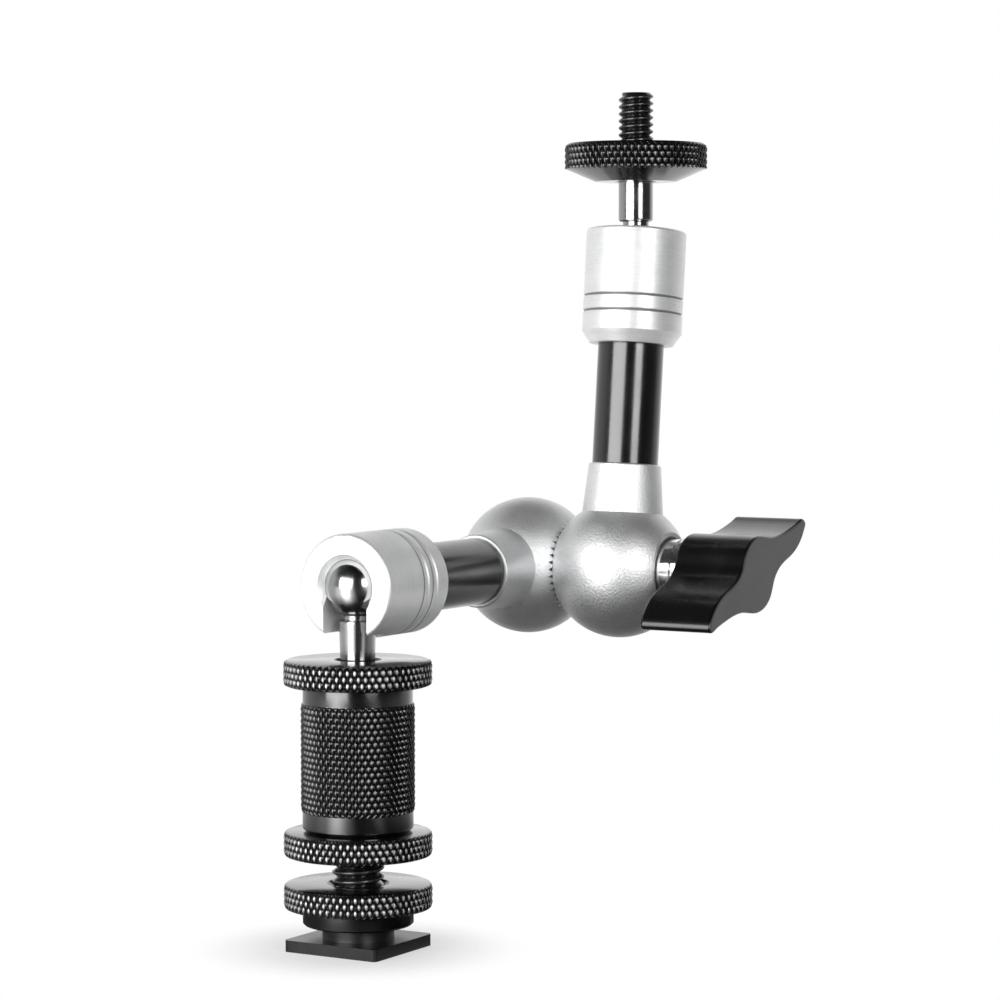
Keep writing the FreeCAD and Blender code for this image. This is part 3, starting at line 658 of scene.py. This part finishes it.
FINISHES = {
    "blasted_lower": satin_silver("satin_silver_lower_half", LOWER_HALF, **BLASTED),
    "blasted_upper": satin_silver("satin_silver_upper_half", CLAMP, **BLASTED),
    "turned_lower": satin_silver("satin_silver_lower_arm", LOWER_ARM, **TURNED),
    "turned_upper": satin_silver("satin_silver_upper_arm", UPPER_ARM, **TURNED),
    "collar": polished_metal("polished_collar", CLAMP, **COLLAR),
    "lower_stud": polished_metal("polished_steel_lower", COLUMN, **STUD),
    "upper_stud": polished_metal("polished_steel_upper", UPPER_STUD, **STUD),
    "gloss_lower": black_anodised("gloss_black_lower_tube", LOWER_ARM, **TUBE),
    "gloss_upper": black_anodised("gloss_black_upper_tube", UPPER_ARM, **TUBE),
    "knurled": black_anodised("black_knurled", COLUMN, **DISC_KNURL),
    "knurled_top": black_anodised("black_knurled_top", UPPER_STUD, **TOP_KNURL),
    "knurled_barrel": black_anodised("black_knurled_barrel", COLUMN, **BARREL_KNURL),
    "knob": black_anodised("black_knob", CLAMP, **KNOB),
    "foot": black_anodised("black_foot", COLUMN, **FOOT),
    "thread": black_anodised("black_thread", COLUMN, **THREAD),
    "bronze": plain_metal("bronze_cup", LOWER_ARM, BRONZE, 0.3),
    "steel": plain_metal("plain_steel", CLAMP, STEEL, 0.3),
}


def finish(piece, *names):
    """Gives a piece its finishes in place of what it had."""
    piece.data.materials.clear()
    for name in names:
        piece.data.materials.append(FINISHES[name])


def dress(piece, body, slot, replaced, *names):
    """Makes a new piece stand for a node: it rides on the body and takes the finish."""
    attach(piece, body)
    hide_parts(replaced)
    finish(piece, *names)


# The knurled discs

DISC_ROUND = 0.8 * MM
DISC_KNURL_COUNT = 64
DISC_KNURL_DEPTH = 0.38 * MM
BORE_CHAMFER = 0.9 * MM
EDGE_BREAK = 0.12 * MM
HUB_CHAMFER = 0.3 * MM
RUNNING_CLEARANCE = 0.05 * MM


def across(node):
    """Half of a node's width across the column."""
    low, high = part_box(node)
    return (high.y - low.y) / 2


def rim_outline(radius, low, high, round_radius, count):
    """The outline of a knurled rim with rounded edges, from its underside to its top."""
    points = []
    for height in knurl_rows(radius, count, low, high):
        depth = min(height - low, high - height)
        inset = 0
        if depth < round_radius:
            inset = round_radius - math.sqrt(max(round_radius ** 2 - (round_radius - depth) ** 2, 0))
        points.append((radius - inset, height))
    return points


def knurled_disc(node, body, bore_radius, hub=None):
    """A knurled disc on an optional hub, (radius, length), with a chamfered thread bore."""
    low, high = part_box(node)
    radius = across(node)
    base = low.z + (hub[1] if hub else 0)
    mouth = bore_radius + BORE_CHAMFER
    outline = [(bore_radius, low.z + BORE_CHAMFER), (mouth, low.z)]
    if hub:
        hub_radius = hub[0]
        outline += rounded([
            (mouth, low.z), (hub_radius - HUB_CHAMFER, low.z, EDGE_BREAK),
            (hub_radius, low.z + HUB_CHAMFER, EDGE_BREAK), (hub_radius, base)])[1:]
    outline += rim_outline(radius, base, high.z, DISC_ROUND, DISC_KNURL_COUNT)
    outline += [(mouth, high.z), (bore_radius, high.z - BORE_CHAMFER)]
    relief = knurl(radius, DISC_KNURL_COUNT, DISC_KNURL_DEPTH, (base + high.z) / 2)
    piece = spin(node + "_knurled", outline, COLUMN, DISC_KNURL_COUNT * KNURL_STEPS, relief)
    dress(smooth(piece), body, "black_knurled", node, "knurled")


STUD_RADIUS = 3.175 * MM
STUD_BORE = STUD_RADIUS + RUNNING_CLEARANCE
SHOE_BORE = across("shoe_stud") + RUNNING_CLEARANCE
NECK_RADIUS = 9.45 * MM
CLAMP_HUB_LENGTH = 2.8 * MM
knurled_disc("shoe_clamp_nut", "clamp_nut", SHOE_BORE, (NECK_RADIUS, CLAMP_HUB_LENGTH))
knurled_disc("barrel_lock_nut", "lock_nut", SHOE_BORE)
knurled_disc("stud_lock_disc", "stud_disc", STUD_BORE)


# The top disc, with its coned underside

TOP_DISC_FOOT_RADIUS = 7.4 * MM
TOP_DISC_CONE = 2.4 * MM
TOP_DISC_CHAMFER = 0.6 * MM
TOP_DISC_CONE_ROWS = (0.55, 0.8, 0.92, 0.97)


def top_disc():
    """The knurled disc under the camera, coned below."""
    low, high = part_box("top_lock_disc")
    base = low.z - UPPER_BALL.z
    top = high.z - UPPER_BALL.z
    radius = across("top_lock_disc")
    rim_base = base + TOP_DISC_CONE
    mouth = STUD_BORE + TOP_DISC_CHAMFER
    foot = (TOP_DISC_FOOT_RADIUS, base, EDGE_BREAK)
    outline = [(STUD_BORE, base + TOP_DISC_CHAMFER), (mouth, base)]
    outline += rounded([(mouth, base), foot, (radius, rim_base)])[1:-1]
    for share in TOP_DISC_CONE_ROWS:
        along = TOP_DISC_FOOT_RADIUS + share * (radius - TOP_DISC_FOOT_RADIUS)
        outline.append((along, base + share * TOP_DISC_CONE))
    for height in knurl_rows(radius, DISC_KNURL_COUNT, rim_base, top):
        outline.append((radius - max(height - top + TOP_DISC_CHAMFER, 0), height))
    outline += [(mouth, top), (STUD_BORE, top - TOP_DISC_CHAMFER)]
    relief = knurl(radius, DISC_KNURL_COUNT, DISC_KNURL_DEPTH, (rim_base + top) / 2)
    piece = spin("top_lock_disc_knurled", outline, UPPER_STUD, DISC_KNURL_COUNT * KNURL_STEPS, relief)
    dress(smooth(piece), "top_disc", "black_knurled", "top_lock_disc", "knurled_top")


top_disc()


# The knurled barrel

BARREL_KNURL_COUNT = 52
BARREL_KNURL_DEPTH = 0.34 * MM
BARREL_KNURL_BASE = 3.4 * MM
BARREL_TOP_NECK = 2.9 * MM
BARREL_TOP_NECK_RADIUS = 9.4 * MM
BARREL_CHAMFER = 0.6 * MM
BARREL_ROUND = 1.1 * MM
BARREL_BORE_END = 8.9 * MM
BARREL_WEB = 3.6 * MM


def barrel():
    """The barrel: a knurled middle between two smooth necks."""
    low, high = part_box("adapter_barrel")
    radius = across("adapter_barrel")
    knurl_base = low.z + BARREL_KNURL_BASE
    knurl_top = high.z - BARREL_TOP_NECK
    mouth = SHOE_BORE + BORE_CHAMFER
    outline = [(0, low.z + BARREL_BORE_END), (SHOE_BORE, low.z + BARREL_BORE_END),
               (SHOE_BORE, low.z + BORE_CHAMFER), (mouth, low.z)]
    outline += rounded([
        (mouth, low.z), (NECK_RADIUS - BARREL_CHAMFER, low.z, EDGE_BREAK),
        (NECK_RADIUS, low.z + BARREL_CHAMFER, EDGE_BREAK), (NECK_RADIUS, knurl_base)])[1:-1]
    outline.append((NECK_RADIUS, knurl_base - EDGE_BREAK))
    for height in knurl_rows(radius, BARREL_KNURL_COUNT, knurl_base, knurl_top):
        neck = NECK_RADIUS if height < (knurl_base + knurl_top) / 2 else BARREL_TOP_NECK_RADIUS
        depth = min(height - knurl_base, knurl_top - height)
        run = min(depth / BARREL_ROUND, 1)
        outline.append((neck + (radius - neck) * math.sqrt(1 - (1 - run) ** 2), height))
    outline.append((BARREL_TOP_NECK_RADIUS, knurl_top + EDGE_BREAK))
    top_mouth = STUD_BORE + BORE_CHAMFER
    outline += rounded([
        (BARREL_TOP_NECK_RADIUS, knurl_top), (BARREL_TOP_NECK_RADIUS, high.z, EDGE_BREAK),
        (top_mouth, high.z)])[1:]
    web_top = low.z + BARREL_BORE_END + BARREL_WEB
    outline += [(STUD_BORE, high.z - BORE_CHAMFER), (STUD_BORE, web_top), (0, web_top)]
    cut = knurl(radius, BARREL_KNURL_COUNT, BARREL_KNURL_DEPTH, (knurl_base + knurl_top) / 2)

    def relief(profile, height, angles):
        inside = knurl_base < height < knurl_top and profile > BARREL_TOP_NECK_RADIUS
        return cut(profile, height, angles) if inside else plain(profile, angles)

    piece = spin("adapter_barrel_knurled", outline, COLUMN, BARREL_KNURL_COUNT * KNURL_STEPS, relief)
    dress(smooth(piece), "barrel", "black_knurled", "adapter_barrel", "knurled_barrel")


barrel()


# The threads

SHOE_PITCH = 25.4 / 16 * MM
CAMERA_PITCH = 25.4 / 20 * MM
THREAD_DEPTH_SHARE = 0.54
TIP_CHAMFER = 0.6 * MM
STUD_PLAIN_END = 2 * MM
THREAD_SEGMENTS = 96

# The angle, in degrees, from which the edges of threaded and turned studs are hard
THREAD_EDGE = 50


def shoe_stud_thread():
    """The threaded stud between the foot and the barrel."""
    low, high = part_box("shoe_stud")
    radius = across("shoe_stud")
    thread_low = low.z + STUD_PLAIN_END
    rows = thread_rows(SHOE_PITCH, thread_low, high.z - TIP_CHAMFER)
    outline = [(0, low.z), (radius - EDGE_BREAK, low.z), (radius, low.z + EDGE_BREAK)]
    outline += [(radius, height) for height in rows]
    outline += [(radius - TIP_CHAMFER, high.z), (0, high.z)]
    relief = thread(radius, SHOE_PITCH, SHOE_PITCH * THREAD_DEPTH_SHARE, thread_low, high.z)
    piece = spin("shoe_stud_thread", outline, COLUMN, THREAD_SEGMENTS, relief)
    dress(smooth(piece, THREAD_EDGE), "foot", "black_thread", "shoe_stud", "thread")


shoe_stud_thread()


# The ball studs

BALL_RADIUS = 5.5 * MM
BALL_NECK_RADIUS = 2.4 * MM
SHOULDER_DISTANCE = 5.6 * MM
SHOULDER_CHAMFER = 0.35 * MM
RELIEF_RADIUS = 2.7 * MM
RELIEF_WIDTH = 0.8 * MM
RELIEF_RISE = 0.1 * MM
BALL_STEPS = 40
STUD_SEGMENTS = 96


def ball_outline():
    """The outline of the ball and its neck, up to the stem's shoulder."""
    neck_angle = math.asin(BALL_NECK_RADIUS / BALL_RADIUS)
    points = [(0, -BALL_RADIUS)]
    for step in range(1, BALL_STEPS + 1):
        angle = math.pi - step / BALL_STEPS * (math.pi - neck_angle)
        points.append((BALL_RADIUS * math.sin(angle), BALL_RADIUS * math.cos(angle)))
    shoulder = SHOULDER_DISTANCE
    points += rounded([
        points[-1], (BALL_NECK_RADIUS, shoulder),
        (STUD_RADIUS - SHOULDER_CHAMFER, shoulder, EDGE_BREAK),
        (STUD_RADIUS, shoulder + SHOULDER_CHAMFER, EDGE_BREAK),
        (STUD_RADIUS, shoulder + 2 * SHOULDER_CHAMFER)])[1:]
    return points


def ball_stud(node, body, place, length, disc_top, finishes):
    """A ball stud. Where disc_top is given, its stem ends in the camera's screw above that height."""
    outline = ball_outline()
    relief = None
    if disc_top:
        start = disc_top + RELIEF_RISE
        relief_low = start - RELIEF_WIDTH
        rows = thread_rows(CAMERA_PITCH, start, length - TIP_CHAMFER)
        outline += [(STUD_RADIUS, relief_low), (RELIEF_RADIUS, relief_low), (RELIEF_RADIUS, start)]
        outline += [(STUD_RADIUS, height) for height in rows]
        cut = thread(STUD_RADIUS, CAMERA_PITCH, CAMERA_PITCH * THREAD_DEPTH_SHARE, start, length)

        def relief(profile, height, angles):
            return cut(profile, height, angles) if height > start else plain(profile, angles)

    outline += [(STUD_RADIUS - TIP_CHAMFER, length), (0, length)]
    piece = spin(node + "_turned", outline, place, STUD_SEGMENTS, relief)
    dress(smooth(piece, THREAD_EDGE), body, "polished_steel", node, *finishes)
    if disc_top:
        # The camera's screw takes the second finish
        inverse = place.inverted()
        for face in piece.data.polygons:
            if (inverse @ face.center).z > disc_top - RELIEF_WIDTH:
                face.material_index = 1


LOWER_STUD = frame_along(LOWER_BALL, -UP)
LOWER_LENGTH = LOWER_BALL.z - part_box("lower_ball_stud")[0].z
UPPER_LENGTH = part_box("upper_ball_stud")[1].z - UPPER_BALL.z
DISC_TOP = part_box("top_lock_disc")[1].z - UPPER_BALL.z
ball_stud("lower_ball_stud", "lower_stud", LOWER_STUD, LOWER_LENGTH, None, ["lower_stud"])
ball_stud("upper_ball_stud", "upper_stud", UPPER_STUD, UPPER_LENGTH, DISC_TOP, ["upper_stud", "thread"])


# Carried-over parts: each gets a finish of its own place and kind

CARRIED = {
    "shoe_plate": "foot",
    "lower_socket": "turned_lower", "lower_socket_base": "turned_lower", "lower_tube": "gloss_lower",
    "upper_socket": "turned_upper", "upper_socket_base": "turned_upper", "upper_tube": "gloss_upper",
    "lower_elbow_half": "blasted_lower", "upper_elbow_half": "blasted_upper",
    "lower_ball_cup": "bronze", "upper_ball_cup": "bronze",
    "lower_push_rod": "steel", "upper_push_rod": "steel", "clamp_bolt": "steel",
    "lower_cone": "steel", "upper_cone": "steel", "elbow_spring": "steel", "knob_insert": "steel",
    "thrust_collar": "collar", "wing_knob": "knob",
}
for carried_name, finish_name in CARRIED.items():
    finish(nodes[carried_name], finish_name)


# Floor, light and camera

CAMERA_SPOT = Vector((-460.5, -301.5, 106.3)) * MM
CAMERA_TARGET = Vector((30.5, -10.0, 75.5)) * MM
CAMERA_LENS = 117
CAMERA_SENSOR = 36
CAMERA_CLIP = 10 * MM
WHITE = grey(1)

# What the room looks like from the object: its brightness at angles from the camera to the right, how
# much of it is left at angles of rise, on the camera's side and behind, and how far a direction points
# towards the camera where the camera's side ends and where the back starts
ROOM_ROUND = ((-180, 1.3), (-140, 0.85), (-100, 0.75), (-66, 0.2), (-10, 0.05), (50, 0.03), (95, 0.05),
              (125, 0.8), (150, 1.3))
ROOM_UP_FRONT = ((-90, 0.5), (0, 1.0), (18, 1.0), (36, 0.15), (90, 0.03))
ROOM_UP_BEHIND = ((-90, 0.5), (0, 1.0), (30, 1.0), (48, 0.1), (90, 0.03))
FRONT_END = 0.1
BEHIND_START = -0.5

# The floor: its size and finish, the share of white that the camera sees in it, and the distances
# from the foot's middle at which it starts to fade and is gone
FLOOR_HALF = 2.5
FLOOR_LEVEL = 0.8
FLOOR_ROUGHNESS = 0.8
FLOOR_WHITE = 0.55
FLOOR_EDGE_START = 0.01
FLOOR_EDGE_END = 0.03

# Painted reflection: the floor glows for gloss, with painted bright bands: its brightness at angles from
# the camera to the right, the painted shade left of it straight below the object, how far that dark
# goes, and where the full brightness starts
FLOOR_ROUND = ((-180, 1.0), (-140, 0.9), (-90, 0.8), (-64, 1.5), (-43, 6.0), (-22, 1.0), (-10, 0.05),
               (18, 0.05), (34, 0.8), (50, 0.2), (90, 0.4), (120, 0.7), (150, 1.2))
FLOOR_DARK_LEVEL = 0.08
FLOOR_DARK_REACH = 0.055
FLOOR_LIGHT_REACH = 0.18


def brightness(tree, angle, stops):
    """A grey level at an angle in degrees, eased between stops of (angle, level).

    The first stop is the least angle, and the greatest one is as far on the other side of 0."""
    first = stops[0][0]
    span = -2 * first
    share = maths(tree, "MULTIPLY_ADD", angle, 1 / span, -first / span)
    ramp = add(tree, "ShaderNodeValToRGB", {"Fac": share})
    ramp.color_ramp.interpolation = "EASE"
    marks = ramp.color_ramp.elements
    while len(marks) < len(stops):
        marks.new(0.5)
    for mark, (at, level) in zip(marks, stops):
        mark.position = (at - first) / span
        mark.color = grey(level)
    return ramp.outputs["Color"]


def dot(tree, direction, axis):
    """How far a direction points along an axis."""
    made = add(tree, "ShaderNodeVectorMath", {0: direction, 1: axis}, operation="DOT_PRODUCT")
    return made.outputs["Value"]


def room_angle(tree, direction):
    """How far a direction points towards the camera, and its angle from the camera to the right."""
    ahead = (CAMERA_TARGET - CAMERA_SPOT).xy.normalized()
    towards = dot(tree, direction, (-ahead.x, -ahead.y, 0))
    right = dot(tree, direction, (ahead.y, -ahead.x, 0))
    return towards, maths(tree, "MULTIPLY", maths(tree, "ARCTAN2", right, towards), math.degrees(1))


def floor():
    """A pale floor that keeps the shadow round the foot and fades away further off, so that an arm
    which hangs lower than the foot stays in sight.

    Gloss sees it glowing as a painted reflection of the lower part of the room, with painted shade
    straight below the object."""
    mesh = bpy.data.meshes.new("floor")
    corners = [(x * FLOOR_HALF, y * FLOOR_HALF, 0) for x, y in ((-1, -1), (1, -1), (1, 1), (-1, 1))]
    mesh.from_pydata(corners, [], [(0, 1, 2, 3)])
    plane = bpy.data.objects.new("floor", mesh)
    bpy.context.scene.collection.objects.link(plane)
    material = bpy.data.materials.new("pale_floor")
    material.use_nodes = True
    tree = material.node_tree
    shader = tree.nodes["Principled BSDF"]
    shader.inputs["Base Color"].default_value = grey(FLOOR_LEVEL)
    shader.inputs["Roughness"].default_value = FLOOR_ROUGHNESS
    position = add(tree, "ShaderNodeNewGeometry").outputs["Position"]
    path = add(tree, "ShaderNodeLightPath").outputs

    white = add(tree, "ShaderNodeEmission", {"Color": WHITE})
    seen = maths(tree, "MULTIPLY", path["Is Camera Ray"], FLOOR_WHITE)
    near_floor = mixed_shader(tree, seen, shader, white)
    clear = add(tree, "ShaderNodeBsdfTransparent")
    from_foot = add(tree, "ShaderNodeVectorMath", {0: position}, operation="LENGTH").outputs["Value"]
    passing = maths(tree, "MAXIMUM", path["Is Camera Ray"], path["Is Shadow Ray"])
    gone = maths(tree, "MULTIPLY", passing, spread(tree, from_foot, FLOOR_EDGE_START, FLOOR_EDGE_END))
    fading_floor = mixed_shader(tree, gone, near_floor, clear)

    # Painted reflection: for gloss the floor glows as the lower room, painted dark straight below the
    # object where its shade falls
    below = (CAMERA_TARGET.x, CAMERA_TARGET.y, 0)
    offset = difference(tree, position, below)
    distance = add(tree, "ShaderNodeVectorMath", {0: offset}, operation="LENGTH").outputs["Value"]
    near = spread(tree, distance, FLOOR_DARK_REACH, FLOOR_LIGHT_REACH, FLOOR_DARK_LEVEL, 1)
    level = product(tree, brightness(tree, room_angle(tree, offset)[1], FLOOR_ROUND), near)
    painted_floor_reflection = add(tree, "ShaderNodeEmission", {"Color": level})
    both = mixed_shader(tree, path["Is Glossy Ray"], fading_floor, painted_floor_reflection)
    put(tree, tree.nodes["Material Output"].inputs["Surface"], both.outputs[0])
    mesh.materials.append(material)


def world():
    """A room that is white behind the object and darker on the camera's side and overhead.

    The camera itself sees plain white."""
    made = bpy.data.worlds.new("studio")
    bpy.context.scene.world = made
    made.use_nodes = True
    tree = made.node_tree
    direction = add(tree, "ShaderNodeTexCoord").outputs["Generated"]
    towards, turned = room_angle(tree, direction)
    height = add(tree, "ShaderNodeSeparateXYZ", {"Vector": direction}).outputs["Z"]
    up_angle = maths(tree, "MULTIPLY", maths(tree, "ARCSINE", height), math.degrees(1))
    behind = spread(tree, towards, FRONT_END, BEHIND_START)
    up_front = brightness(tree, up_angle, ROOM_UP_FRONT)
    up_behind = brightness(tree, up_angle, ROOM_UP_BEHIND)
    level = product(tree, brightness(tree, turned, ROOM_ROUND), mixed(tree, behind, up_front, up_behind))
    room = add(tree, "ShaderNodeBackground", {"Color": level})
    white = add(tree, "ShaderNodeBackground", {"Color": WHITE})
    camera_ray = add(tree, "ShaderNodeLightPath").outputs["Is Camera Ray"]
    both = mixed_shader(tree, camera_ray, room, white)
    put(tree, tree.nodes["World Output"].inputs["Surface"], both.outputs[0])


def softbox(name, angle, rise, distance, width, height, power):
    """A rectangular lamp, placed by its angle from the camera to the right and its angle of rise."""
    towards = (CAMERA_SPOT - CAMERA_TARGET).xy.normalized()
    turned = Matrix.Rotation(math.radians(angle), 2) @ towards
    level = math.cos(math.radians(rise))
    outward = Vector((turned.x * level, turned.y * level, math.sin(math.radians(rise))))
    lamp = bpy.data.lights.new(name, "AREA")
    lamp.shape = "RECTANGLE"
    lamp.size = width
    lamp.size_y = height
    lamp.energy = power
    light = bpy.data.objects.new(name, lamp)
    light.location = CAMERA_TARGET + outward * distance
    light.rotation_euler = (-outward).to_track_quat("-Z", "Y").to_euler()
    light.visible_camera = False
    bpy.context.scene.collection.objects.link(light)


def camera():
    """The camera at the photograph's viewing angle."""
    made = bpy.data.cameras.new("camera")
    made.lens = CAMERA_LENS
    made.sensor_width = CAMERA_SENSOR
    made.clip_start = CAMERA_CLIP
    holder = bpy.data.objects.new("camera", made)
    holder.location = CAMERA_SPOT
    holder.rotation_euler = (CAMERA_TARGET - CAMERA_SPOT).to_track_quat("-Z", "Y").to_euler()
    bpy.context.scene.collection.objects.link(holder)
    bpy.context.scene.camera = holder


floor()
world()
softbox("key", angle=-42, rise=12, distance=1.2, width=1.05, height=0.65, power=15)
softbox("fill", angle=30, rise=15, distance=1.2, width=0.5, height=0.45, power=6.5)
camera()
bpy.context.scene.view_settings.view_transform = "Standard"
